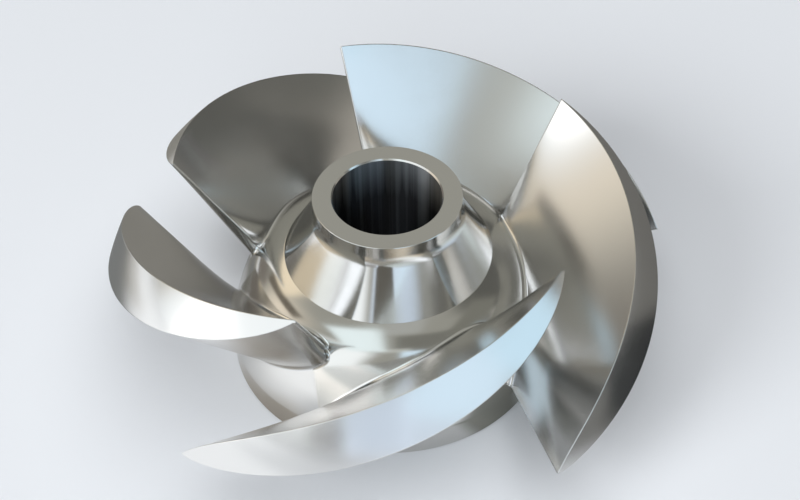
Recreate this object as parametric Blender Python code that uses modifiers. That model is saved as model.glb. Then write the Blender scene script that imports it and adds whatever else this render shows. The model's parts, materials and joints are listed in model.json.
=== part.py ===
"""Mixed-flow pump impeller: a turned hub with a shaft boss and five swept, wedge-section blades.

Metres, +Z up. Z is the shaft axis, and the flat back of the hub lies at Z = 0.
Blade angles are in degrees. A sweep is counted clockwise, seen from above, from a blade's leading tip.
"""
import math
from math import comb

import bmesh
import bpy
import numpy as np

NAME = "impeller"

# Hub and boss
BORE_RADIUS = 0.0200
BORE_CHAMFER = 0.0005
BOSS_RADIUS = 0.0275
BOSS_TOP = 0.0726
BOSS_CHAMFER = 0.0003
FLARE_TOP = 0.0684
FLARE_CORNER = 0.0658
FLARE_NECK = (0.0288, 0.0636)
FLARE_WAIST = (0.0336, 0.0552)
FLARE_FOOT = (0.0390, 0.0465)
DOME_SHOULDER = (0.0487, 0.0452)
DOME_SIDE = (0.0566, 0.0341)
SKIRT_TOP = (0.0615, 0.0108)
SKIRT_RADIUS = 0.0612
SKIRT_CHAMFER = 0.0005

# Blades
BLADE_COUNT = 5
LEAD_AZIMUTH = -113.6
RIM_SPHERE_RADIUS = 0.1128
RIM_SPHERE_HEIGHT = 0.0019
LEAD_EDGE_THICKNESS = 0.0011

# Rim edges as Bezier control points: sweep and latitude on the rim sphere
UPPER_RIM = ((0.0, 46.8), (37.6, 42.0), (80.0, 27.1), (89.9, 14.5))
LOWER_RIM = ((0.0, 46.8), (13.6, 37.1), (88.1, 12.0), (89.9, 14.5))

# Root lines as Bezier control points: sweep and height on the hub
UPPER_ROOT = ((4.0, 0.0404), (9.5, 0.0439), (32.4, 0.0417), (51.5, 0.0381), (65.4, 0.0305), (73.8, 0.0147))
LOWER_ROOT = ((4.0, 0.0404), (-6.8, 0.0338), (35.3, 0.0241), (41.7, 0.0159), (73.8, 0.0147))

# Fit and fineness
SEAT_GAP = 0.0003
ROOT_DEPTH = 0.10
CUTTER_MARGIN = 0.004
TURN_STEPS = 60
BEND_STEPS = 3
CONE_STEPS = 3
DOME_STEPS = 12
CHORD_STEPS = 26
SPAN_STEPS = 4
RIM_STEPS = 3
CURVE_SAMPLES = 400
MERGE_DISTANCE = 0.00001
SMOOTH_ANGLE = math.radians(30)


def clear_scene():
    """Remove every object, so that the scene holds only this part."""
    for item in list(bpy.data.objects):
        bpy.data.objects.remove(item, do_unlink=True)


def new_collection(name):
    """Make a collection in the scene."""
    group = bpy.data.collections.new(name)
    bpy.context.scene.collection.children.link(group)
    return group


def steel(name, colour, roughness):
    """Bare stainless steel as a Principled material."""
    material = bpy.data.materials.new(name)
    material.use_nodes = True
    shader = material.node_tree.nodes["Principled BSDF"]
    shader.inputs["Base Color"].default_value = (*colour, 1.0)
    shader.inputs["Metallic"].default_value = 1.0
    shader.inputs["Roughness"].default_value = roughness
    return material


def bezier(controls, count):
    """Points along the Bezier curve of any degree through its first and last control points."""
    controls = np.array(controls)
    degree = len(controls) - 1
    t = np.linspace(0.0, 1.0, count)
    weights = [comb(degree, i) * t**i * (1.0 - t) ** (degree - i) for i in range(degree + 1)]
    return np.stack(weights, axis=1) @ controls


def flare_curve():
    """Outline from the boss's straight side through a short bend and down a nearly straight cone."""
    bend = bezier(((BOSS_RADIUS, FLARE_TOP), (BOSS_RADIUS, FLARE_CORNER), FLARE_NECK), BEND_STEPS + 1)
    cone = bezier((FLARE_NECK, FLARE_WAIST, FLARE_FOOT), CONE_STEPS + 1)
    return np.vstack([bend, cone[1:]])


def dome_curve(steps):
    """Convex outline from the foot of the flare to the top of the skirt, top to bottom."""
    return bezier((FLARE_FOOT, DOME_SHOULDER, DOME_SIDE, SKIRT_TOP), steps + 1)


def hub_radius(height):
    """Radius of the hub's outside at a height."""
    outline = np.vstack([dome_curve(CURVE_SAMPLES), (SKIRT_RADIUS, 0.0)])[::-1]
    return np.interp(height, outline[:, 1], outline[:, 0])


def grown(outline, distance):
    """An outline that runs top to bottom, moved outwards by a distance."""
    outline = np.array(outline)
    along = np.gradient(outline, axis=0)
    along /= np.linalg.norm(along, axis=1)[:, None]
    return outline + distance * np.stack([-along[:, 1], along[:, 0]], axis=1)


def turned(name, outline, group):
    """Body of revolution about Z from a closed outline of radius and height."""
    points = [(radius, 0.0, height) for radius, height in outline]
    edges = [(i, (i + 1) % len(points)) for i in range(len(points))]
    mesh = bpy.data.meshes.new(name)
    mesh.from_pydata(points, edges, [])
    body = bpy.data.objects.new(name, mesh)
    group.objects.link(body)
    screw = body.modifiers.new("turn", "SCREW")
    screw.axis = "Z"
    screw.angle = 2.0 * math.pi
    screw.steps = TURN_STEPS
    screw.render_steps = TURN_STEPS
    screw.use_merge_vertices = True
    screw.merge_threshold = MERGE_DISTANCE
    screw.use_smooth_shade = True
    return body


def make_shaft_boss(group):
    """Turned boss with a flat face, straight side and conical flare that stands on the hub."""
    foot = FLARE_FOOT[1] + SEAT_GAP / 2.0
    side = flare_curve()
    side[-1, 1] = foot
    outline = [
        (BORE_RADIUS + BORE_CHAMFER, BOSS_TOP),
        (BOSS_RADIUS - BOSS_CHAMFER, BOSS_TOP),
        (BOSS_RADIUS, BOSS_TOP - BOSS_CHAMFER),
        *side,
        (BORE_RADIUS, foot),
        (BORE_RADIUS, BOSS_TOP - BORE_CHAMFER),
    ]
    return turned("shaft_boss", outline, group)


def make_hub(group):
    """Turned dome and skirt with a flat back and a through bore."""
    seat = FLARE_FOOT[1] - SEAT_GAP / 2.0
    side = dome_curve(DOME_STEPS)
    side[0, 1] = seat
    outline = [
        *side,
        (SKIRT_RADIUS, SKIRT_CHAMFER),
        (SKIRT_RADIUS - SKIRT_CHAMFER, 0.0),
        (BORE_RADIUS + BORE_CHAMFER, 0.0),
        (BORE_RADIUS, BORE_CHAMFER),
        (BORE_RADIUS, seat),
    ]
    return turned("hub", outline, group)


def make_hub_cutter(group):
    """The hub's outside grown by the seat gap, which trims the blade roots."""
    side = grown([*dome_curve(DOME_STEPS), (SKIRT_RADIUS, 0.0)], SEAT_GAP)
    below = -CUTTER_MARGIN
    outline = [
        (BORE_RADIUS, side[0, 1] + CUTTER_MARGIN),
        (side[0, 0], side[0, 1] + CUTTER_MARGIN),
        *side,
        (side[-1, 0], below),
        (BORE_RADIUS, below),
    ]
    cutter = turned("hub_cutter", outline, group)
    cutter.hide_render = True
    cutter.display_type = "WIRE"
    return cutter


def on_rim(sweep, latitude):
    """Points on the sphere that the blade rims are turned to."""
    azimuth = np.radians(LEAD_AZIMUTH - sweep)
    latitude = np.radians(latitude)
    reach = RIM_SPHERE_RADIUS * np.cos(latitude)
    height = RIM_SPHERE_HEIGHT + RIM_SPHERE_RADIUS * np.sin(latitude)
    return np.stack([reach * np.cos(azimuth), reach * np.sin(azimuth), height], axis=-1)


def on_hub(sweep, height):
    """Points on the hub's outside."""
    azimuth = np.radians(LEAD_AZIMUTH - sweep)
    radius = hub_radius(height)
    return np.stack([radius * np.cos(azimuth), radius * np.sin(azimuth), height], axis=-1)


def even_steps(controls, place, count):
    """Bezier values resampled so that their placed points lie at equal steps along the curve."""
    values = bezier(controls, CURVE_SAMPLES)
    points = place(values[:, 0], values[:, 1])
    travelled = np.concatenate([[0.0], np.cumsum(np.linalg.norm(np.diff(points, axis=0), axis=1))])
    wanted = np.linspace(0.0, travelled[-1], count)
    return np.stack([np.interp(wanted, travelled, values[:, i]) for i in range(2)], axis=1)


def lowered_start(controls, drop):
    """Control points whose first one is moved down, for the leading edge's thickness."""
    (sweep, level), *rest = controls
    return ((sweep, level - drop), *rest)


def blade_grid():
    """Blade points by chord station, thickness layer and span row, from inside the hub to the rim."""
    lead_drop = math.degrees(LEAD_EDGE_THICKNESS / RIM_SPHERE_RADIUS)
    stations = CHORD_STEPS + 1
    rim_top = even_steps(UPPER_RIM, on_rim, stations)
    rim_bottom = even_steps(lowered_start(LOWER_RIM, lead_drop), on_rim, stations)
    root_top = even_steps(UPPER_ROOT, on_hub, stations)
    root_bottom = even_steps(lowered_start(LOWER_ROOT, LEAD_EDGE_THICKNESS), on_hub, stations)
    layer = np.linspace(0.0, 1.0, RIM_STEPS + 1)[None, :, None]
    rim = rim_bottom[:, None] * (1.0 - layer) + rim_top[:, None] * layer
    root = root_bottom[:, None] * (1.0 - layer) + root_top[:, None] * layer
    rim = on_rim(rim[..., 0], rim[..., 1])[:, :, None]
    root = on_hub(root[..., 0], root[..., 1])[:, :, None]
    span = np.concatenate([[-ROOT_DEPTH], np.linspace(0.0, 1.0, SPAN_STEPS + 1)])[:, None]
    return root * (1.0 - span) + rim * span


def add_sheet(body, points):
    """Add a grid of points to a bmesh as quads."""
    rows, columns, _ = points.shape
    corners = [[body.verts.new(points[i, j]) for j in range(columns)] for i in range(rows)]
    for i in range(rows - 1):
        for j in range(columns - 1):
            body.faces.new((corners[i][j], corners[i + 1][j], corners[i + 1][j + 1], corners[i][j + 1]))


def blade_mesh():
    """Closed wedge between the upper, lower, rim, root, leading and trailing sheets of the blade."""
    grid = blade_grid()
    body = bmesh.new()
    for sheet in (grid[:, -1], grid[:, 0], grid[:, :, -1], grid[:, :, 0], grid[0], grid[-1]):
        add_sheet(body, sheet)
    bmesh.ops.remove_doubles(body, verts=body.verts, dist=MERGE_DISTANCE)
    bmesh.ops.dissolve_degenerate(body, edges=body.edges, dist=MERGE_DISTANCE)
    bmesh.ops.recalc_face_normals(body, faces=body.faces)
    mesh = bpy.data.meshes.new("blade")
    body.to_mesh(mesh)
    body.free()
    mesh.shade_smooth()
    mesh.set_sharp_from_angle(angle=SMOOTH_ANGLE)
    return mesh


def make_blades(group, cutter):
    """Five equal blades round the shaft axis, each trimmed to seat on the hub."""
    mesh = blade_mesh()
    blades = []
    for i in range(BLADE_COUNT):
        blade = bpy.data.objects.new(f"blade_{i + 1}", mesh)
        blade.rotation_euler.z = i * 2.0 * math.pi / BLADE_COUNT
        group.objects.link(blade)
        trim = blade.modifiers.new("seat", "BOOLEAN")
        trim.operation = "DIFFERENCE"
        trim.object = cutter
        trim.solver = "EXACT"
        blades.append(blade)
    return blades


def main():
    """Build the impeller."""
    clear_scene()
    parts = new_collection(NAME)
    cutters = new_collection(f"{NAME}_cutters")
    axis = bpy.data.objects.new("shaft_axis", None)
    parts.objects.link(axis)
    hub = make_hub(parts)
    hub.data.materials.append(steel("hub_steel", (0.62, 0.60, 0.57), 0.16))
    boss = make_shaft_boss(parts)
    boss.data.materials.append(steel("boss_steel", (0.58, 0.57, 0.54), 0.26))
    blades = make_blades(parts, make_hub_cutter(cutters))
    blades[0].data.materials.append(steel("blade_steel", (0.64, 0.64, 0.63), 0.12))
    for piece in (hub, boss, *blades):
        piece.parent = axis


main()
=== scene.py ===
"""Looks of a mixed-flow pump impeller: fine surfaces, root fillets, steel finishes, camera and studio."""
import json
import math
from math import comb

import bmesh
import bpy
import numpy as np
from bpy.props import FloatProperty, FloatVectorProperty, IntProperty, PointerProperty
from mathutils import Matrix, Vector

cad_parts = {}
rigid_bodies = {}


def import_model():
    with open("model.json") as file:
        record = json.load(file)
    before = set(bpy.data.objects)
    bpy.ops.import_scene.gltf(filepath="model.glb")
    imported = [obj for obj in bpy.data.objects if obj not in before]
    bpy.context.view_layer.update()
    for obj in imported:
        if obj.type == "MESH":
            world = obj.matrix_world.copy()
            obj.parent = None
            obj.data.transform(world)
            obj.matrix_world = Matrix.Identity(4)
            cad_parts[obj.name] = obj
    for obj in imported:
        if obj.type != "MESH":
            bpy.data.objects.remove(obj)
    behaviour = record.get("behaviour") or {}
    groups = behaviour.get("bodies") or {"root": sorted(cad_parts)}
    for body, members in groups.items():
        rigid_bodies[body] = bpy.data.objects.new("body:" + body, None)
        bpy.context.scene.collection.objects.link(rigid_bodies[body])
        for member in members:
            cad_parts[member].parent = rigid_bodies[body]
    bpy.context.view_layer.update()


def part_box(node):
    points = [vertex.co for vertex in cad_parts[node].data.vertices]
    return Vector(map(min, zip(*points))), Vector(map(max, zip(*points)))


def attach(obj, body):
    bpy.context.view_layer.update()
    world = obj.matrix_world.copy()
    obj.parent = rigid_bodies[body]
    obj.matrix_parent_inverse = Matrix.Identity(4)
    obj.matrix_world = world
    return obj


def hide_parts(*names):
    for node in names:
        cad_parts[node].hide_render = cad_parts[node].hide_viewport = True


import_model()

bl_info = {
    "name": "Pump impeller looks",
    "version": (1, 0, 0),
    "blender": (4, 5, 0),
    "location": "3D View > Sidebar > Impeller",
    "description": "Polished surfaces, fillets, finishes and studio for a mixed-flow pump impeller",
    "category": "Add Mesh",
}

BODY = "root"
BOSS_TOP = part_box("shaft_boss")[1][2]

# Control points of Bezier curves: radius and height in metres for the hub, sweep and latitude in degrees for
# the rims, sweep in degrees and height in metres for the roots. Only the dome's differ from the solids' own
FLARE_TOP = 0.0684
FLARE_CORNER = 0.0658
FLARE_NECK = (0.0288, 0.0636)
FLARE_WAIST = (0.0336, 0.0552)
FLARE_FOOT = (0.0390, 0.0465)
DOME_TOP = (0.0460, 0.0438)
DOME_SHOULDER = (0.0534, 0.0409)
DOME_SIDE = (0.0578, 0.0283)
SKIRT_TOP = (0.0615, 0.0108)
UPPER_RIM = ((0.0, 46.8), (37.6, 42.0), (80.0, 27.1), (89.9, 14.5))
LOWER_RIM = ((0.0, 46.8), (13.6, 37.1), (88.1, 12.0), (89.9, 14.5))
UPPER_ROOT = ((4.0, 0.0404), (9.5, 0.0439), (32.4, 0.0417), (51.5, 0.0381), (65.4, 0.0305), (73.8, 0.0147))
LOWER_ROOT = ((4.0, 0.0404), (-6.8, 0.0338), (35.3, 0.0241), (41.7, 0.0159), (73.8, 0.0147))

# How finely curves are sampled and surfaces divided: counts of points, and steps in metres
CURVE_SAMPLES = 6000
DOME_POINTS = 120
BEND_POINTS = 26
CONE_POINTS = 80
WALL_STEP = 0.001
BORE_STEP = 0.002
FACE_ROWS = 34
RIM_ROWS = 17
BREAK_POINTS = 6
NOSE_POINTS = 9
ROOT_NOSE_POINTS = 14
FILLET_POINTS = 9
MERGE_DISTANCE = 1e-7

# Rows beside a blade's rounded rim edges, as shares of the face and of the rim: they keep its shading flat
LAST_EVEN_ROW = 0.985
GUARD_ROW = 0.996
RIM_GUARD = 0.004
# The rounding takes at most this share of the rim's width, where the rim is thin
THIN_RIM_SHARE = 0.3

# Angles from which an edge is shaded sharp
TURNED_SHARP = math.radians(25)
FILLET_SHARP = math.radians(40)

# How far a fillet's two edges, its hidden sides and its hidden corner lie inside the metal, in metres
FILLET_SINK = 0.00002
FILLET_SIDES = 0.0002
FILLET_CORNER = 0.0003


def length_setting(name, description, default):
    """Setting for a length in metres."""
    return FloatProperty(name=name, description=description, default=default, unit="LENGTH")


def angle_setting(name, description, default):
    """Setting for an angle in radians."""
    return FloatProperty(name=name, description=description, default=default, subtype="ANGLE")


class HubSizes(bpy.types.PropertyGroup):
    """Sizes of the turned hub and boss."""

    bore_radius: length_setting("Bore radius", "Shaft bore", 0.0200)
    bore_chamfer: length_setting("Bore chamfer", "At both mouths", 0.0005)
    boss_radius: length_setting("Boss radius", "Straight side", 0.0275)
    boss_break: length_setting("Boss edge", "Broken top edge", 0.00012)
    skirt_radius: length_setting("Skirt radius", "At the back", 0.0612)
    skirt_break: length_setting("Skirt edge", "Broken back edge", 0.0005)
    turn_steps: IntProperty(name="Turn steps", description="Faces round the axis", default=360, min=60)


class BladeSizes(bpy.types.PropertyGroup):
    """Sizes of the blades and their root fillets."""

    count: IntProperty(name="Blades", description="Number round the hub", default=5, min=1)
    lead_azimuth: angle_setting("First tip", "Direction of the first leading tip", math.radians(-113.6))
    sphere_radius: length_setting("Rim sphere", "Rims lie on it, just inside the solids' own", 0.1127)
    sphere_height: length_setting("Sphere centre", "Above the back", 0.0019)
    lead_thickness: length_setting("Leading edge", "Thickness", 0.0011)
    trail_thickness: length_setting("Trailing edge", "Thickness", 0.0003)
    rim_break: length_setting("Rim edges", "Rounding", 0.0003)
    root_depth: FloatProperty(name="Root depth", description="Hidden share of span", default=0.08, min=0.0)
    fillet_leg: length_setting("Fillet leg", "Along hub and blade", 0.0016)
    stations: IntProperty(name="Stations", description="Faces along the chord", default=200, min=20)


class StudioSettings(bpy.types.PropertyGroup):
    """Camera and floor."""

    distance: length_setting("Camera distance", "Level, from the axis to the front", 0.3871)
    height: length_setting("Camera height", "Above the floor", 0.4267)
    yaw: angle_setting("Yaw", "To the right", 0.0112)
    pitch: angle_setting("Pitch", "Downwards", 0.7786)
    roll: angle_setting("Roll", "Tilt of the frame", -0.0138)
    focal_length: FloatProperty(name="Focal length", description="On a 36 mm frame", default=65.07)
    floor_colour: FloatVectorProperty(
        name="Floor", description="Pale sheet", default=(0.80, 0.82, 0.85),
        subtype="COLOR", min=0.0, max=1.0,
    )


def bezier(controls, count):
    """Bezier curve of any degree: control points weighted by the Bernstein terms of an even parameter."""
    controls = np.array(controls)
    degree = len(controls) - 1
    t = np.linspace(0.0, 1.0, count)
    weights = [comb(degree, i) * t**i * (1.0 - t) ** (degree - i) for i in range(degree + 1)]
    return np.stack(weights, axis=1) @ controls


def unit(vectors):
    """Vectors divided by their own lengths."""
    return vectors / np.maximum(np.linalg.norm(vectors, axis=-1, keepdims=True), 1e-12)


def travelled(points):
    """Distance run along a row of points, starting at nought."""
    steps = np.linalg.norm(np.diff(points, axis=0), axis=1)
    return np.concatenate([[0.0], np.cumsum(steps)])


def spaced(outline, step):
    """An outline refilled with points so that no straight stretch is longer than the step."""
    run = travelled(outline)
    extra = np.arange(0.0, run[-1], step)
    wanted = np.unique(np.concatenate([run, extra]))
    return np.stack([np.interp(wanted, run, outline[:, i]) for i in range(outline.shape[1])], axis=1)


def flare_curve(hub):
    """Outline from the boss's straight side to the crease: a short bend, then a nearly straight cone."""
    side = hub.boss_radius
    bend = bezier(((side, FLARE_TOP), (side, FLARE_CORNER), FLARE_NECK), BEND_POINTS)
    cone = bezier((FLARE_NECK, FLARE_WAIST, FLARE_FOOT), CONE_POINTS)
    return np.vstack([bend, cone[1:]])


def dome_curve(count):
    """Convex outline from the crease down to the top of the skirt, a quartic that starts off straight."""
    return bezier((FLARE_FOOT, DOME_TOP, DOME_SHOULDER, DOME_SIDE, SKIRT_TOP), count)


def hub_outline(hub):
    """Dome and skirt outline as radius and height, densely sampled, from the crease down."""
    return np.vstack([dome_curve(CURVE_SAMPLES), (hub.skirt_radius, 0.0)])


def on_hub(hub, azimuth, height):
    """Points on the dome and skirt: the outline's radius at each height, turned by each azimuth."""
    outline = hub_outline(hub)[::-1]
    radius = np.interp(height, outline[:, 1], outline[:, 0])
    return np.stack([radius * np.cos(azimuth), radius * np.sin(azimuth), height], axis=-1)


def hub_normal(hub, points):
    """Outward normals of the dome and skirt: the outline's slope at each height, turned to each point."""
    outline = hub_outline(hub)[::-1]
    slope = np.gradient(outline[:, 0]) / np.gradient(outline[:, 1])
    fall = -np.interp(points[..., 2], outline[:, 1], slope)
    flat = unit(points[..., :2])
    return unit(np.concatenate([flat, fall[..., None]], axis=-1))


def on_rim(blade, sweep, latitude):
    """Points on the rim sphere at each sweep from the leading tip and each latitude, in degrees."""
    azimuth = blade.lead_azimuth - np.radians(sweep)
    latitude = np.radians(latitude)
    reach = blade.sphere_radius * np.cos(latitude)
    height = blade.sphere_height + blade.sphere_radius * np.sin(latitude)
    return np.stack([reach * np.cos(azimuth), reach * np.sin(azimuth), height], axis=-1)


def on_root(hub, blade, sweep, height):
    """Points on the hub at each sweep from the leading tip, in degrees, and each height."""
    return on_hub(hub, blade.lead_azimuth - np.radians(sweep), height)


def even_curve(controls, place, share):
    """Bezier values at shares of the length of the placed curve."""
    values = bezier(controls, CURVE_SAMPLES)
    run = travelled(place(values[:, 0], values[:, 1]))
    return np.stack([np.interp(share * run[-1], run, values[:, i]) for i in range(2)], axis=1)


def lowered(controls, first_drop, last_drop):
    """Control points with the first and the last one moved down, for the edges' thickness."""
    (sweep, level), *middle, (last_sweep, last_level) = controls
    return ((sweep, level - first_drop), *middle, (last_sweep, last_level - last_drop))


def blade_edges(hub, blade, share):
    """Upper and lower root and rim points at shares of the blade's length from its leading edge."""

    def rim(sweep, latitude):
        """Points on this blade's rim sphere."""
        return on_rim(blade, sweep, latitude)

    def root(sweep, height):
        """Points on the hub below this blade."""
        return on_root(hub, blade, sweep, height)

    lead, trail = blade.lead_thickness, blade.trail_thickness
    drop = [math.degrees(size / blade.sphere_radius) for size in (lead, trail)]
    rim_top = even_curve(UPPER_RIM, rim, share)
    rim_bottom = even_curve(lowered(LOWER_RIM, *drop), rim, share)
    root_top = even_curve(UPPER_ROOT, root, share)
    root_bottom = even_curve(lowered(LOWER_ROOT, lead, trail), root, share)
    return rim_top, rim_bottom, root(*root_top.T), root(*root_bottom.T)


def clustered(count):
    """Even shares from 0 to 1, drawn together towards both ends by a raised cosine."""
    even = np.linspace(0.0, 1.0, count)
    return 0.5 * even + 0.25 * (1.0 - np.cos(math.pi * even))


def blade_sections(hub, blade):
    """Section loops of one blade: up the upper face, over the rounded rim edges and back down the lower face.

    Each face is ruled from its root line to its rim line. The rim lies on the sphere. A rim edge is a
    quadratic curve that leaves each face at its own tangent.
    """
    share = clustered(blade.stations)
    rim_top, rim_bottom, root_top, root_bottom = blade_edges(hub, blade, share)
    tip_top = on_rim(blade, *rim_top.T)
    tip_bottom = on_rim(blade, *rim_bottom.T)
    rim_width = np.linalg.norm(tip_top - tip_bottom, axis=1)
    rounding = np.minimum(blade.rim_break, THIN_RIM_SHARE * rim_width)
    rows = np.concatenate([np.linspace(0.0, LAST_EVEN_ROW, FACE_ROWS), [GUARD_ROW, 1.0]])

    def face(root, tip):
        """Ruled face from inside the hub to where the rim's rounding starts."""
        span = np.linalg.norm(tip - root, axis=1)
        end = 1.0 - rounding / span
        place = -blade.root_depth + rows[None] * (end + blade.root_depth)[:, None]
        return root[:, None] + place[..., None] * (tip - root)[:, None]

    def rim_strip():
        """The rim between its two roundings."""
        inset = rounding / rim_width
        place = inset[:, None] + np.linspace(0.0, 1.0, RIM_ROWS)[None] * (1.0 - 2.0 * inset)[:, None]
        guards = place[:, [0, -1]] + np.array([RIM_GUARD, -RIM_GUARD])
        place = np.insert(place, [1, RIM_ROWS - 1], guards, axis=1)
        values = rim_top[:, None] + place[..., None] * (rim_bottom - rim_top)[:, None]
        return on_rim(blade, values[..., 0], values[..., 1])

    upper = face(root_top, tip_top)
    lower = face(root_bottom, tip_bottom)[:, ::-1]
    rim = rim_strip()
    bend = np.linspace(0.0, 1.0, BREAK_POINTS)[1:-1][None, :, None]

    def rounded(start, corner, end):
        """Quadratic curve from start to end with its corner as control point."""
        start, corner, end = (point[:, None] for point in (start, corner, end))
        return (1 - bend) ** 2 * start + 2 * bend * (1 - bend) * corner + bend**2 * end

    top_bend = rounded(upper[:, -1], tip_top, rim[:, 0])
    bottom_bend = rounded(rim[:, -1], tip_bottom, lower[:, 0])
    return np.concatenate([upper, top_bend, rim, bottom_bend, lower], axis=1)


def nosed(loop, ahead, angles):
    """Loops that close an edge: each is thinned by its angle's cosine and moved ahead by its sine."""
    middle = 0.5 * (loop + loop[::-1])
    half = loop - middle
    thickness = np.linalg.norm(half, axis=1, keepdims=True).max()
    across = unit(half)
    ahead = unit(ahead - np.sum(ahead * across, axis=1, keepdims=True) * across)
    angles = angles[:, None, None]
    return middle[None] + half[None] * np.cos(angles) + thickness * ahead[None] * np.sin(angles)


def blade_loops(hub, blade):
    """All section loops of one blade, with a round nose before the first and after the last."""
    sections = blade_sections(hub, blade)
    angles = np.linspace(0.0, 0.5 * math.pi, NOSE_POINTS)[1:]
    middles = 0.5 * (sections + sections[:, ::-1])
    lead = nosed(sections[0], unit(middles[0] - middles[2]), angles)[::-1]
    trail = nosed(sections[-1], unit(middles[-1] - middles[-3]), angles)
    return np.concatenate([lead, sections, trail])


def wrapped_faces(rows, columns, closed_rows):
    """Quads of a grid whose columns close on themselves, and whose rows may too."""
    row = np.arange(rows if closed_rows else rows - 1)[:, None]
    column = np.arange(columns)[None]
    next_row = (row + 1) % rows
    next_column = (column + 1) % columns
    corners = (row * columns + column, next_row * columns + column,
               next_row * columns + next_column, row * columns + next_column)
    return np.stack([np.broadcast_to(c, (len(row), columns)) for c in corners], axis=-1).reshape(-1, 4)


def solid_from_grid(name, grid, closed_rows=False, sharp=None):
    """Closed mesh object from a grid of points whose columns close, with end rows merged where they meet."""
    rows, columns, _ = grid.shape
    mesh = bpy.data.meshes.new(name)
    faces = wrapped_faces(rows, columns, closed_rows)
    mesh.from_pydata(grid.reshape(-1, 3).tolist(), [], faces.tolist())
    body = bmesh.new()
    body.from_mesh(mesh)
    bmesh.ops.remove_doubles(body, verts=body.verts, dist=MERGE_DISTANCE)
    bmesh.ops.recalc_face_normals(body, faces=body.faces)
    body.to_mesh(mesh)
    body.free()
    mesh.shade_smooth()
    if sharp is not None:
        mesh.set_sharp_from_angle(angle=sharp)
    piece = bpy.data.objects.new(name, mesh)
    bpy.context.scene.collection.objects.link(piece)
    return piece


def turned_grid(outline, steps):
    """Closed outline of radius and height carried round the Z axis."""
    angle = np.linspace(0.0, 2.0 * math.pi, steps, endpoint=False)[:, None]
    radius = outline[None, :, 0]
    height = np.broadcast_to(outline[None, :, 1], (steps, len(outline)))
    return np.stack([radius * np.cos(angle), radius * np.sin(angle), height], axis=-1)


def round_axis(points, angle):
    """Points turned round the Z axis."""
    turn = np.array(Matrix.Rotation(angle, 3, "Z"))
    return points @ turn.T


def blade_turns(blade):
    """Number of each blade, from one, and its turn from the first."""
    return [(i + 1, i * 2.0 * math.pi / blade.count) for i in range(blade.count)]


def darken_bore(piece, hub):
    """Give the faces that line the bore, which lie nearest the axis, the bore's material with its painted
    shade.
    """
    mesh = piece.data
    mesh.materials.append(bore_steel_with_painted_shade())
    centres = np.empty(3 * len(mesh.polygons))
    mesh.polygons.foreach_get("center", centres)
    reach = np.linalg.norm(centres.reshape(-1, 3)[:, :2], axis=1)
    inside = reach < hub.bore_radius + 0.25 * hub.bore_chamfer
    mesh.polygons.foreach_set("material_index", inside.astype(np.int32))


def finish_piece(piece, material, slot, *nodes):
    """Give a piece its material and body, and hide the nodes that it stands for. The slot is not used."""
    piece.data.materials.append(material)
    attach(piece, BODY)
    if nodes:
        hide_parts(*nodes)


def node_group(name, inputs, outputs):
    """Shader node group with named sockets, and whether it is new and still has to be filled."""
    if name in bpy.data.node_groups:
        return bpy.data.node_groups[name], False
    group = bpy.data.node_groups.new(name, "ShaderNodeTree")
    for label, kind, value in inputs:
        socket = group.interface.new_socket(label, in_out="INPUT", socket_type=kind)
        if value is not None:
            socket.default_value = value
    for label, kind in outputs:
        group.interface.new_socket(label, in_out="OUTPUT", socket_type=kind)
    return group, True


def wired(tree, kind, sources=(), **settings):
    """Node with its inputs linked or set by name or number, and its settings."""
    node = tree.nodes.new(kind)
    for key, value in settings.items():
        setattr(node, key, value)
    for key, source in dict(sources).items():
        if isinstance(source, bpy.types.NodeSocket):
            tree.links.new(source, node.inputs[key])
        else:
            node.inputs[key].default_value = source
    return node


def math_node(tree, operation, first, second=0.0, clamp=False):
    """Result socket of an operation on two numbers or sockets."""
    node = wired(tree, "ShaderNodeMath", {0: first, 1: second}, operation=operation, use_clamp=clamp)
    return node.outputs[0]


def noise(tree, place, scale, detail):
    """Noise from 0 to 1 at a place."""
    sources = {"Vector": place, "Scale": scale, "Detail": detail}
    return wired(tree, "ShaderNodeTexNoise", sources).outputs["Fac"]


def noise_along(tree, run, scale, detail):
    """Noise from 0 to 1 that follows one number."""
    sources = {"W": run, "Scale": scale, "Detail": detail}
    return wired(tree, "ShaderNodeTexNoise", sources, noise_dimensions="1D").outputs["Fac"]


def mixed(tree, share, first, second, blend="MIX"):
    """First colour, with the second one over it by a share."""
    sources = {0: share, 6: first, 7: second}
    return wired(tree, "ShaderNodeMix", sources, data_type="RGBA", blend_type=blend).outputs[2]


def smooth_fall(tree, value, start, reach):
    """Number that falls smoothly from a start at a value of nought to nought at the reach."""
    sources = {"Value": value, "From Min": 0.0, "From Max": reach, "To Min": start, "To Max": 0.0}
    return wired(tree, "ShaderNodeMapRange", sources, interpolation_type="SMOOTHSTEP").outputs[0]


def level_part(tree, vector):
    """A vector with its height taken away."""
    sources = {0: vector, 1: (1.0, 1.0, 0.0)}
    return wired(tree, "ShaderNodeVectorMath", sources, operation="MULTIPLY").outputs[0]


def group_ends(group):
    """Input and output node of a new group."""
    return group.nodes.new("NodeGroupInput"), group.nodes.new("NodeGroupOutput")


FINISH_INPUTS = (("Position", "NodeSocketVector", None), ("Haze", "NodeSocketFloat", 0.05),
                 ("Base Roughness", "NodeSocketFloat", 0.2))
FINISH_OUTPUTS = (("Roughness", "NodeSocketFloat"), ("Height", "NodeSocketFloat"))

# Hand polish: noise scales of its waves, patches and grain, and the grain's height beside the waves'
WAVE_SCALE = 38.0
PATCH_SCALE = 90.0
GRAIN_SCALE = 900.0
GRAIN_HEIGHT = 0.012

# Turning: how slowly its broad bands change beside its rings
BAND_SCALE = 0.08

# Share of a turn that lays a turned finish's blur along the outline, not round the axis
ALONG_OUTLINE = 0.25


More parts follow.
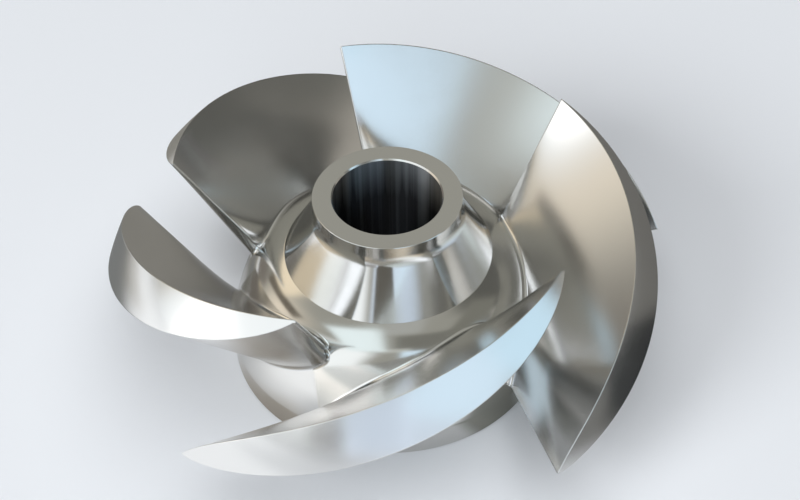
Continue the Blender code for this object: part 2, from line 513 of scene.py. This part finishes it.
def uneven_roughness(group, enter, first, second):
    """Base roughness, which two noises move up and down by the haze."""
    uneven = math_node(group, "SUBTRACT", math_node(group, "ADD", first, second), 1.0)
    uneven = math_node(group, "MULTIPLY", uneven, enter.outputs["Haze"])
    return math_node(group, "ADD", uneven, enter.outputs["Base Roughness"])


def hand_polish_group():
    """Slow waves, patches and a fine grain that hand polishing leaves."""
    group, fresh = node_group("hand_polish", FINISH_INPUTS, FINISH_OUTPUTS)
    if not fresh:
        return group
    enter, leave = group_ends(group)
    place = enter.outputs["Position"]
    waves = noise(group, place, WAVE_SCALE, detail=1.5)
    patches = noise(group, place, PATCH_SCALE, detail=4.0)
    grain = noise(group, place, GRAIN_SCALE, detail=3.0)
    group.links.new(uneven_roughness(group, enter, patches, grain), leave.inputs["Roughness"])
    height = math_node(group, "ADD", math_node(group, "MULTIPLY", grain, GRAIN_HEIGHT), waves)
    group.links.new(height, leave.inputs["Height"])
    return group


def turning_group():
    """Rings that a lathe tool leaves along the outline's run, which is the radius less the height."""
    inputs = (*FINISH_INPUTS, ("Rings per Metre", "NodeSocketFloat", 2500.0))
    group, fresh = node_group("turning", inputs, FINISH_OUTPUTS)
    if not fresh:
        return group
    enter, leave = group_ends(group)
    place = enter.outputs["Position"]
    height = wired(group, "ShaderNodeSeparateXYZ", {0: place}).outputs["Z"]
    radius = wired(group, "ShaderNodeVectorMath", {0: level_part(group, place)}, operation="LENGTH")
    run = math_node(group, "SUBTRACT", radius.outputs["Value"], height)
    ring = math_node(group, "MULTIPLY", run, enter.outputs["Rings per Metre"])
    rings = noise_along(group, ring, scale=1.0, detail=2.0)
    bands = noise_along(group, ring, BAND_SCALE, detail=2.0)
    group.links.new(uneven_roughness(group, enter, rings, bands), leave.inputs["Roughness"])
    group.links.new(rings, leave.inputs["Height"])
    return group


def steel(name, colour, finish, roughness, haze, bump, anisotropy=0.0):
    """Bare steel whose roughness and relief come from a finish group. The bump is the relief in metres."""
    material = bpy.data.materials.new(name)
    material.use_nodes = True
    tree = material.node_tree
    shader = tree.nodes["Principled BSDF"]
    shader.inputs["Base Color"].default_value = (*colour, 1.0)
    shader.inputs["Metallic"].default_value = 1.0
    place = tree.nodes.new("ShaderNodeTexCoord").outputs["Object"]
    sources = {"Position": place, "Base Roughness": roughness, "Haze": haze}
    marks = wired(tree, "ShaderNodeGroup", sources, node_tree=finish)
    tree.links.new(marks.outputs["Roughness"], shader.inputs["Roughness"])
    sources = {"Height": marks.outputs["Height"], "Distance": bump, "Strength": 1.0}
    relief = wired(tree, "ShaderNodeBump", sources)
    tree.links.new(relief.outputs["Normal"], shader.inputs["Normal"])
    if anisotropy:
        shader.inputs["Anisotropic"].default_value = anisotropy
        shader.inputs["Anisotropic Rotation"].default_value = ALONG_OUTLINE
        round_z = wired(tree, "ShaderNodeTangent", direction_type="RADIAL", axis="Z")
        tree.links.new(round_z.outputs[0], shader.inputs["Tangent"])
    return material


def hub_polish():
    """Dome and skirt: turned, then polished by hand."""
    return steel("hub_polish", (0.70, 0.69, 0.665), hand_polish_group(),
                 roughness=0.14, haze=0.06, bump=0.00002)


def boss_turned():
    """Boss and flare: fine turned rings that draw reflections out along the outline."""
    return steel("boss_turned", (0.70, 0.69, 0.67), turning_group(),
                 roughness=0.13, haze=0.04, bump=0.000002, anisotropy=0.7)


# Bore: how closely the streaks of its painted shade stand round the axis, as a noise scale, and how much the
# painted highlight streak lifts
STREAK_SCALE = 6.0
PAINTED_HIGHLIGHT_LIFT = 0.6


def bore_painted_shade_group():
    """Bore's colour: light near the mouth, painted shade deep down in streaks round the axis, and a painted
    highlight streak.
    """
    inputs = (("Position", "NodeSocketVector", None), ("Mouth", "NodeSocketFloat", 0.084),
              ("Fade", "NodeSocketFloat", 0.03), ("Mouth Colour", "NodeSocketColor", None),
              ("Painted Shade Colour", "NodeSocketColor", None), ("Painted Highlight Angle", "NodeSocketFloat", 0.8),
              ("Painted Highlight Half Width", "NodeSocketFloat", 0.2))
    group, fresh = node_group("bore_painted_shade", inputs, (("Colour", "NodeSocketColor"),))
    if not fresh:
        return group
    enter, leave = group_ends(group)
    axes = wired(group, "ShaderNodeSeparateXYZ", {0: enter.outputs["Position"]}).outputs
    # Painted shade: the colour darkens with depth below the mouth
    below = math_node(group, "SUBTRACT", enter.outputs["Mouth"], axes["Z"])
    depth = math_node(group, "DIVIDE", below, enter.outputs["Fade"], clamp=True)
    angle = math_node(group, "ARCTAN2", axes["Y"], axes["X"])
    streaks = math_node(group, "SUBTRACT", noise_along(group, angle, STREAK_SCALE, detail=3.0), 0.5)
    depth = math_node(group, "ADD", depth, streaks, clamp=True)
    # Painted highlight: the colour is lightened in a streak at one angle round the axis
    aside = math_node(group, "ABSOLUTE", math_node(group, "SUBTRACT", angle, enter.outputs["Painted Highlight Angle"]))
    light = smooth_fall(group, aside, PAINTED_HIGHLIGHT_LIFT, enter.outputs["Painted Highlight Half Width"])
    depth = math_node(group, "SUBTRACT", depth, light, clamp=True)
    colour = mixed(group, depth, enter.outputs["Mouth Colour"], enter.outputs["Painted Shade Colour"])
    group.links.new(colour, leave.inputs["Colour"])
    return group


def bore_steel_with_painted_shade():
    """Bore, shared by hub and boss: boring-tool rings that draw light down the wall, and painted shade and
    highlight in its colour.
    """
    if "bore_steel_with_painted_shade" in bpy.data.materials:
        return bpy.data.materials["bore_steel_with_painted_shade"]
    material = steel("bore_steel_with_painted_shade", (0.2, 0.2, 0.2), turning_group(),
                     roughness=0.45, haze=0.08, bump=0.000002, anisotropy=1.0)
    tree = material.node_tree
    # Painted shade and painted highlight: the colour fades from the mouth to dark deep down, lifted in one
    # streak
    tint = wired(tree, "ShaderNodeGroup", {
        "Position": tree.nodes["Texture Coordinate"].outputs["Object"],
        "Mouth Colour": (0.36, 0.38, 0.40, 1.0), "Painted Shade Colour": (0.05, 0.05, 0.055, 1.0),
    }, node_tree=bore_painted_shade_group())
    tree.links.new(tint.outputs["Colour"], tree.nodes["Principled BSDF"].inputs["Base Color"])
    return material


def blade_polish():
    """Blades: satin polish."""
    return steel("blade_polish", (0.70, 0.695, 0.68), hand_polish_group(),
                 roughness=0.20, haze=0.05, bump=0.00001)


def fillet_polish():
    """Root fillets: bright polish."""
    return steel("fillet_polish", (0.74, 0.735, 0.72), hand_polish_group(),
                 roughness=0.12, haze=0.04, bump=0.00001)


class IMPELLER_OT_hub(bpy.types.Operator):
    """Make the dome, skirt, back and lower bore"""

    bl_idname = "impeller.hub"
    bl_label = "Hub"

    def execute(self, context):
        hub = context.scene.impeller_hub
        skirt = hub.skirt_radius
        outline = np.vstack([
            dome_curve(DOME_POINTS),
            spaced(np.array([SKIRT_TOP, (skirt, hub.skirt_break)]), WALL_STEP)[1:],
            spaced(np.array([
                (skirt - hub.skirt_break, 0.0), (hub.bore_radius + hub.bore_chamfer, 0.0),
                (hub.bore_radius, hub.bore_chamfer), (hub.bore_radius, FLARE_FOOT[1]),
            ]), BORE_STEP),
        ])
        piece = solid_from_grid("hub_surface", turned_grid(outline, hub.turn_steps), True, TURNED_SHARP)
        finish_piece(piece, hub_polish(), "hub_steel", "hub")
        darken_bore(piece, hub)
        return {"FINISHED"}


class IMPELLER_OT_boss(bpy.types.Operator):
    """Make the turned boss with its flare"""

    bl_idname = "impeller.boss"
    bl_label = "Shaft boss"

    def execute(self, context):
        hub = context.scene.impeller_hub
        outline = np.vstack([
            spaced(np.array([
                (hub.bore_radius + hub.bore_chamfer, BOSS_TOP), (hub.boss_radius - hub.boss_break, BOSS_TOP),
                (hub.boss_radius, BOSS_TOP - hub.boss_break), (hub.boss_radius, FLARE_TOP),
            ]), WALL_STEP),
            flare_curve(hub)[1:],
            spaced(np.array([
                (hub.bore_radius, FLARE_FOOT[1]), (hub.bore_radius, BOSS_TOP - hub.bore_chamfer),
            ]), BORE_STEP),
        ])
        piece = solid_from_grid("boss_surface", turned_grid(outline, hub.turn_steps), True, TURNED_SHARP)
        finish_piece(piece, boss_turned(), "boss_steel", "shaft_boss")
        darken_bore(piece, hub)
        return {"FINISHED"}


class IMPELLER_OT_blades(bpy.types.Operator):
    """Make the blades"""

    bl_idname = "impeller.blades"
    bl_label = "Blades"

    def execute(self, context):
        hub, blade = context.scene.impeller_hub, context.scene.impeller_blade
        loops = blade_loops(hub, blade)
        material = blade_polish()
        for number, turn in blade_turns(blade):
            piece = solid_from_grid(f"blade_{number}_surface", round_axis(loops, turn))
            finish_piece(piece, material, "blade_steel", f"blade_{number}")
        return {"FINISHED"}


def root_loop(hub, blade):
    """Closed line where a blade meets the hub, with the blade's rising direction at each point.

    It runs from the trailing edge along the upper side, round the leading nose and back on the lower side.
    """
    share = clustered(blade.stations)
    rim_top, rim_bottom, root_top, root_bottom = blade_edges(hub, blade, share)
    tip_top, tip_bottom = on_rim(blade, *rim_top.T), on_rim(blade, *rim_bottom.T)
    points, rising = [root_top[::-1]], [(tip_top - root_top)[::-1]]
    turn = np.linspace(0.0, math.pi, ROOT_NOSE_POINTS)[1:-1, None]

    def nose(i, step):
        """Half circle round an edge of the blade, from its upper to its lower side."""
        middle = 0.5 * (root_top[i] + root_bottom[i])
        half = root_top[i] - middle
        ahead = middle - 0.5 * (root_top[i + step] + root_bottom[i + step])
        ahead = unit(ahead - half * np.dot(ahead, half) / np.dot(half, half))
        rise = 0.5 * (tip_top[i] - root_top[i] + tip_bottom[i] - root_bottom[i])
        half_circle = middle + half * np.cos(turn) + ahead * np.linalg.norm(half) * np.sin(turn)
        return half_circle, np.tile(rise, (len(turn), 1))

    lead, lead_rise = nose(0, 2)
    trail, trail_rise = nose(-1, -2)
    points += [lead, root_bottom, trail[::-1]]
    rising += [lead_rise, tip_bottom - root_bottom, trail_rise]
    points = np.concatenate(points)
    points = on_hub(hub, np.arctan2(points[:, 1], points[:, 0]), points[:, 2])
    return points, unit(np.concatenate(rising))


class IMPELLER_OT_fillets(bpy.types.Operator):
    """Make the fillet round the root of each blade"""

    bl_idname = "impeller.fillets"
    bl_label = "Root fillets"

    def execute(self, context):
        hub, blade = context.scene.impeller_hub, context.scene.impeller_blade
        line, rising = root_loop(hub, blade)
        along = unit(np.roll(line, -1, axis=0) - np.roll(line, 1, axis=0))
        normal = hub_normal(hub, line)
        away = unit(np.cross(normal, along))
        away *= np.sign(np.sum(away[0] * (line[0] - line.mean(axis=0))))
        climb = unit(rising - np.sum(rising * along, axis=1, keepdims=True) * along)
        foot = line + blade.fillet_leg * away
        foot = on_hub(hub, np.arctan2(foot[:, 1], foot[:, 0]), foot[:, 2]) - FILLET_SINK * normal
        top = line + blade.fillet_leg * climb - FILLET_SINK * away
        s = np.linspace(0.0, 1.0, FILLET_POINTS)[None, :, None]
        arc = (1 - s) ** 2 * foot[:, None] + 2 * s * (1 - s) * line[:, None] + s**2 * top[:, None]
        corner = line - FILLET_CORNER * (normal + away)
        hidden = [top - FILLET_SIDES * away, corner, foot - FILLET_SIDES * normal]
        grid = np.concatenate([arc, np.stack(hidden, axis=1)], axis=1)
        material = fillet_polish()
        for number, turn in blade_turns(blade):
            piece = solid_from_grid(f"root_fillet_{number}", round_axis(grid, turn), True, FILLET_SHARP)
            finish_piece(piece, material, "blade_steel")
        return {"FINISHED"}


class IMPELLER_OT_studio(bpy.types.Operator):
    """Set the floor, light and camera"""

    bl_idname = "impeller.studio"
    bl_label = "Studio"

    def execute(self, context):
        studio = context.scene.impeller_studio
        set_floor(studio)
        set_world()
        set_lamps()
        set_blade_lamp()
        set_camera(studio)
        return {"FINISHED"}


# Half the side of the floor, in metres
FLOOR_REACH = 3.0
WHITE = (1.0, 1.0, 1.0, 1.0)
BLACK = (0.0, 0.0, 0.0, 1.0)

# Painted shade and painted glow on the floor, seen only in the metal's mirror. Centre, half length and half
# width in metres, turn in degrees, feather, colour, strength
FLOOR_SHADES = {
    "far_behind": (0.35, 1.25, 1.00, 0.74, 0.0, 0.06, (1.00, 0.97, 0.88), 0.14),
    "behind": (-0.02, 0.27, 0.36, 0.20, 0.0, 0.05, (1.00, 0.93, 0.80), 0.33),
    "right": (0.43, 0.14, 0.28, 0.30, 0.0, 0.06, (1.00, 0.94, 0.84), 0.23),
    "right_dark": (0.28, -0.05, 0.12, 0.040, -5.0, 0.030, (1.00, 1.00, 1.00), 0.03),
    "under_right": (0.055, -0.054, 0.020, 0.012, 0.0, 0.008, (1.00, 1.00, 0.90), 0.46),
    "front_far": (-0.60, -1.10, 0.35, 0.45, 0.0, 0.20, (1.00, 1.00, 1.00), 0.55),
    "left_dark": (-0.165, 0.05, 0.03, 0.04, 0.0, 0.06, (1.00, 1.00, 0.95), 0.25),
    "under_left": (-0.040, -0.038, 0.010, 0.010, 0.0, 0.025, (1.00, 0.90, 0.78), 0.60),
}
# Painted glow on the floor, emitted only for rays that the metal mirrors
FLOOR_GLOWS = {
    "left": (-0.64, 0.00, 0.31, 0.50, 0.0, 0.12, (1.00, 1.00, 1.00), 0.45),
    "front_left": (-0.20, -0.12, 0.11, 0.07, 0.0, 0.05, (1.00, 1.00, 1.00), 0.34),
}


def set_floor(studio):
    """Pale level sheet under the part: plain to the camera, with painted shade and painted glow where metal
    mirrors it.
    """
    mesh = bpy.data.meshes.new("floor")
    corners = [(FLOOR_REACH * x, FLOOR_REACH * y, 0.0) for x, y in ((-1, -1), (1, -1), (1, 1), (-1, 1))]
    mesh.from_pydata(corners, [], [(0, 1, 2, 3)])
    floor = bpy.data.objects.new("floor", mesh)
    bpy.context.scene.collection.objects.link(floor)
    material = bpy.data.materials.new("pale_sheet")
    material.use_nodes = True
    tree = material.node_tree
    shader = tree.nodes["Principled BSDF"]
    shader.inputs["Roughness"].default_value = 0.7
    shader.inputs["Specular IOR Level"].default_value = 0.2
    place = tree.nodes.new("ShaderNodeTexCoord").outputs["Object"]
    mirrored = tree.nodes.new("ShaderNodeLightPath").outputs["Is Glossy Ray"]
    own = (*studio.floor_colour, 1.0)
    # Painted shade multiplies the colour and painted glow is emitted, both only for rays mirrored by the
    # metal
    shaded = mixed(tree, mirrored, WHITE, laid_panels(tree, place, FLOOR_SHADES, WHITE))
    tree.links.new(mixed(tree, 1.0, shaded, own, blend="MULTIPLY"), shader.inputs["Base Color"])
    glow = laid_panels(tree, place, FLOOR_GLOWS, BLACK)
    tree.links.new(glow, shader.inputs["Emission Color"])
    tree.links.new(mirrored, shader.inputs["Emission Strength"])
    mesh.materials.append(material)


# Soft panels hung round the part, on a flat map of the sky in degrees: a direction lies at its angle from
# straight up, towards its compass direction. Centre east and north, half length, half width, turn, feather,
# colour, strength
PANELS = {
    "far_wall": (0.0, 85.0, 75.0, 20.0, 0.0, 12.0, (1.00, 0.97, 0.90), 0.30),
    "dark_corner_right": (54.0, 42.0, 24.0, 28.0, 0.0, 12.0, (1.00, 1.00, 0.92), 0.13),
    "dark_corner_left": (-57.0, 64.0, 20.0, 14.0, 35.0, 10.0, (1.00, 0.92, 0.82), 0.24),
    "right_wall": (84.0, 0.0, 16.0, 26.0, 0.0, 10.0, (1.00, 0.95, 0.85), 0.48),
    "right_low": (77.0, -39.0, 7.0, 10.0, 0.0, 5.0, (1.00, 1.00, 0.92), 0.16),
    "dark_beam": (46.0, -18.0, 20.0, 7.0, 45.0, 6.0, (1.00, 1.00, 0.92), 0.24),
    "dark_top": (18.0, -24.0, 13.0, 11.0, 0.0, 5.0, (1.00, 1.00, 0.90), 0.23),
    "dark_right": (42.0, 0.0, 9.0, 14.0, 0.0, 6.0, (1.00, 1.00, 0.88), 0.24),
    "pale_top": (6.0, 1.0, 5.0, 7.0, 0.0, 5.0, (0.97, 1.00, 0.96), 0.52),
    "warm_wall": (-62.0, 12.0, 6.0, 1.0, 0.0, 30.0, (1.00, 0.90, 0.75), 1.02),
    "dark_left": (-50.0, 21.0, 3.5, 17.0, 8.0, 4.0, (1.00, 0.87, 0.70), 0.18),
    "warm_lamp": (-35.0, 37.0, 9.0, 13.0, 0.0, 5.0, (1.00, 0.87, 0.66), 1.15),
    "white_wall": (-72.0, -25.0, 52.0, 18.0, -38.0, 14.0, (0.95, 1.00, 1.03), 1.33),
    "bright_window": (-79.0, -20.0, 18.0, 13.0, 80.0, 4.0, (1.00, 1.00, 1.00), 2.00),
    "pale_beam": (3.0, -37.0, 8.0, 2.0, 0.0, 3.0, (1.00, 1.03, 0.97), 0.62),
    "white_top": (-16.0, -20.0, 10.0, 16.0, 0.0, 5.0, (0.88, 1.00, 1.04), 1.25),
    "front_wall": (5.0, -84.0, 27.0, 13.0, 0.0, 6.0, (0.75, 0.86, 1.00), 1.12),
    "dark_front": (-7.0, -77.0, 13.0, 13.0, 0.0, 1.5, (1.00, 0.95, 0.83), 0.14),
    "dark_low": (-34.0, -82.0, 8.0, 6.0, -20.0, 4.0, (1.00, 1.00, 1.00), 0.42),
    "sky_window": (30.0, -57.0, 21.0, 16.0, 0.0, 4.0, (0.68, 0.85, 1.00), 1.36),
    "sky_side": (57.0, -31.0, 15.0, 10.0, 75.0, 8.0, (0.62, 0.84, 1.00), 1.33),
}
# Things near the part hang elsewhere for rays that met the metal twice, which have these laid over as well
SECOND_PANELS = {
    "white_low": (-55.0, -45.0, 20.0, 8.0, 0.0, 5.0, (1.00, 1.00, 1.02), 1.60),
    "dark_strip": (-5.0, -42.0, 15.0, 9.0, 0.0, 3.0, (1.00, 1.00, 0.94), 0.36),
    "grey_middle": (-3.0, -6.0, 8.0, 6.5, 0.0, 2.5, (1.00, 1.02, 0.96), 0.47),
    "dark_middle": (4.5, 12.0, 7.5, 14.0, 0.0, 2.5, (1.00, 1.00, 0.92), 0.22),
    "white_lamp": (-33.0, 17.0, 8.0, 6.0, -20.0, 3.0, (0.94, 1.00, 1.03), 1.90),
    "lavender_lamp": (-19.0, 10.0, 9.0, 5.5, 0.0, 3.0, (0.90, 0.96, 1.05), 2.70),
    "dark_streak": (-26.0, 11.0, 1.0, 4.0, 0.0, 1.5, (1.00, 0.99, 0.95), 0.60),
    "lavender_top": (-9.0, -21.0, 4.0, 6.0, 0.0, 4.0, (0.68, 0.81, 1.00), 1.60),
    "small_glint": (13.0, -21.0, 6.0, 4.0, 0.0, 2.5, (1.00, 1.00, 0.98), 1.30),
}
# A ray's depth is past these once it has met the metal twice, and three times
MET_TWICE = 2.5
MET_THRICE = 3.5
# Share of the light left for rays that met the metal three times or more, deep between blade and hub
DEEP_SHARE = 0.45
CEILING = (0.40, 0.40, 0.36)
BACKDROP = (0.74, 0.77, 0.81)


def panel_group():
    """A feathered rectangle on the flat map, laid over what lies behind it.

    Its place has the panel's centre at nought and its edges at the half sizes, where it fades out smoothly.
    """
    inputs = (("Behind", "NodeSocketColor", None), ("Place", "NodeSocketVector", None),
              ("Half Length", "NodeSocketFloat", 10.0), ("Half Width", "NodeSocketFloat", 10.0),
              ("Feather", "NodeSocketFloat", 5.0), ("Colour", "NodeSocketColor", None))
    group, fresh = node_group("soft_panel", inputs, (("Colour", "NodeSocketColor"),))
    if not fresh:
        return group
    enter, leave = group_ends(group)
    size = wired(group, "ShaderNodeVectorMath", {0: enter.outputs["Place"]}, operation="ABSOLUTE")
    axes = wired(group, "ShaderNodeSeparateXYZ", {0: size.outputs[0]}).outputs
    masks = []
    for axis, half in (("X", "Half Length"), ("Y", "Half Width")):
        past = math_node(group, "SUBTRACT", axes[axis], enter.outputs[half])
        masks.append(smooth_fall(group, past, 1.0, enter.outputs["Feather"]))
    mask = math_node(group, "MULTIPLY", *masks)
    colour = mixed(group, mask, enter.outputs["Behind"], enter.outputs["Colour"])
    group.links.new(colour, leave.inputs["Colour"])
    return group


def laid_panels(tree, place, panels, colour):
    """Soft panels laid one over another on a first colour, each at its own centre, turn and size."""
    for across, along, length, width, turn, feather, tint, strength in panels.values():
        own_place = wired(tree, "ShaderNodeMapping", {
            "Vector": place, "Location": (across, along, 0.0), "Rotation": (0.0, 0.0, math.radians(turn)),
        }, vector_type="TEXTURE")
        panel = wired(tree, "ShaderNodeGroup", {
            "Place": own_place.outputs[0], "Half Length": length, "Half Width": width, "Feather": feather,
            "Colour": (*(strength * part for part in tint), 1.0), "Behind": colour,
        }, node_tree=panel_group())
        colour = panel.outputs[0]
    return colour


def sky_place(tree):
    """A direction's place on the flat map: its level part, as long as its angle from straight up."""
    direction = tree.nodes.new("ShaderNodeTexCoord").outputs["Generated"]
    lean = math_node(tree, "ARCCOSINE", wired(tree, "ShaderNodeSeparateXYZ", {0: direction}).outputs["Z"])
    compass = wired(tree, "ShaderNodeVectorMath", {0: level_part(tree, direction)}, operation="NORMALIZE")
    sources = {0: compass.outputs[0], "Scale": math_node(tree, "MULTIPLY", lean, math.degrees(1.0))}
    return wired(tree, "ShaderNodeVectorMath", sources, operation="SCALE").outputs[0]


def set_world():
    """Soft panels for the metal, and a plain backdrop for the camera. They don't light the floor."""
    world = bpy.data.worlds.new("studio")
    bpy.context.scene.world = world
    world.use_nodes = True
    world.cycles_visibility.diffuse = False
    tree = world.node_tree
    place = sky_place(tree)
    path = tree.nodes.new("ShaderNodeLightPath").outputs
    once = laid_panels(tree, place, PANELS, (*CEILING, 1.0))
    twice = laid_panels(tree, place, SECOND_PANELS, once)
    again = math_node(tree, "GREATER_THAN", path["Ray Depth"], MET_TWICE)
    colour = mixed(tree, again, once, twice)
    colour = mixed(tree, path["Is Camera Ray"], colour, (*BACKDROP, 1.0))
    deep = math_node(tree, "GREATER_THAN", path["Ray Depth"], MET_THRICE)
    lost = math_node(tree, "MULTIPLY", deep, 1.0 - DEEP_SHARE)
    background = tree.nodes["Background"].inputs
    tree.links.new(math_node(tree, "SUBTRACT", 1.0, lost), background["Strength"])
    tree.links.new(colour, background["Color"])
    bpy.context.scene.view_settings.view_transform = "Standard"


# Soft round lamps: place and size in metres, power in watts
LAMPS = {
    "side_lamp": ((-4.0, -3.0, 3.0), 3.0, 200.0),
    "front_lamp": ((-1.2, -4.7, 2.6), 3.5, 100.0),
    "top_lamp": ((0.4, 0.0, 4.5), 6.0, 165.0),
}
LAMP_COLOUR = (0.97, 0.985, 1.0)
# The boss mirrors a dark stretch of the front wall. The blades mirror a bright wall there, so for them this
# lamp covers it: place, width and height in metres, power in watts, colour
BLADE_LAMP = ((-0.44, -4.85, 1.12), 1.84, 2.50, 13.9, (0.68, 0.81, 1.00))


def hung_lamp(name, place, power, colour):
    """Area lamp that points at the part and that the camera doesn't see."""
    data = bpy.data.lights.new(name, "AREA")
    data.energy = power
    data.color = colour
    lamp = bpy.data.objects.new(name, data)
    turn = Vector(place).to_track_quat("Z", "Y").to_matrix().to_4x4()
    lamp.matrix_world = Matrix.Translation(place) @ turn
    lamp.visible_camera = False
    bpy.context.scene.collection.objects.link(lamp)
    return lamp


def set_lamps():
    """Large soft lamps. They light the floor and aren't seen in the metal."""
    for name, (place, size, power) in LAMPS.items():
        lamp = hung_lamp(name, place, power, LAMP_COLOUR)
        lamp.data.shape = "DISK"
        lamp.data.size = size
        lamp.visible_glossy = False


def set_blade_lamp():
    """Lamp that only the blades and their fillets mirror."""
    place, width, height, power, colour = BLADE_LAMP
    lamp = hung_lamp("blade_lamp", place, power, colour)
    lamp.data.shape = "RECTANGLE"
    lamp.data.size = width
    lamp.data.size_y = height
    lamp.visible_diffuse = False
    blades = bpy.data.collections.new("blade_pieces")
    for piece in bpy.context.scene.objects:
        if piece.type == "MESH" and {"blade_polish", "fillet_polish"} & set(piece.data.materials.keys()):
            blades.objects.link(piece)
    lamp.light_linking.receiver_collection = blades


def set_camera(studio):
    """Camera at the photograph's place, looking down on the boss."""
    yaw, pitch, roll = studio.yaw, studio.pitch, studio.roll
    ahead = Vector((math.sin(yaw) * math.cos(pitch), math.cos(yaw) * math.cos(pitch), -math.sin(pitch)))
    level = Vector((math.cos(yaw), -math.sin(yaw), 0.0))
    above = level.cross(ahead)
    right = math.cos(roll) * level + math.sin(roll) * above
    up = math.cos(roll) * above - math.sin(roll) * level
    data = bpy.data.cameras.new("camera")
    data.sensor_width = 36.0
    data.lens = studio.focal_length
    camera = bpy.data.objects.new("camera", data)
    turn = Matrix((right, up, -ahead)).transposed().to_4x4()
    camera.matrix_world = Matrix.Translation((0.0, -studio.distance, studio.height)) @ turn
    bpy.context.scene.collection.objects.link(camera)
    bpy.context.scene.camera = camera


STEPS = (IMPELLER_OT_hub, IMPELLER_OT_boss, IMPELLER_OT_blades, IMPELLER_OT_fillets, IMPELLER_OT_studio)


class IMPELLER_PT_looks(bpy.types.Panel):
    """Steps that make the impeller's looks"""

    bl_label = "Impeller"
    bl_idname = "IMPELLER_PT_looks"
    bl_space_type = "VIEW_3D"
    bl_region_type = "UI"
    bl_category = "Impeller"

    def draw(self, context):
        for step in STEPS:
            self.layout.operator(step.bl_idname)


GROUPS = {"impeller_hub": HubSizes, "impeller_blade": BladeSizes, "impeller_studio": StudioSettings}


def register():
    """Register the settings, steps and panel."""
    for group in GROUPS.values():
        bpy.utils.register_class(group)
    for step in STEPS:
        bpy.utils.register_class(step)
    bpy.utils.register_class(IMPELLER_PT_looks)
    for name, group in GROUPS.items():
        setattr(bpy.types.Scene, name, PointerProperty(type=group))


def unregister():
    """Remove what register added."""
    for name in GROUPS:
        delattr(bpy.types.Scene, name)
    for item in (IMPELLER_PT_looks, *reversed(STEPS), *GROUPS.values()):
        bpy.utils.unregister_class(item)


def main():
    """Make every piece in order."""
    register()
    bpy.ops.impeller.hub()
    bpy.ops.impeller.boss()
    bpy.ops.impeller.blades()
    bpy.ops.impeller.fillets()
    bpy.ops.impeller.studio()


if __name__ == "__main__":
    main()
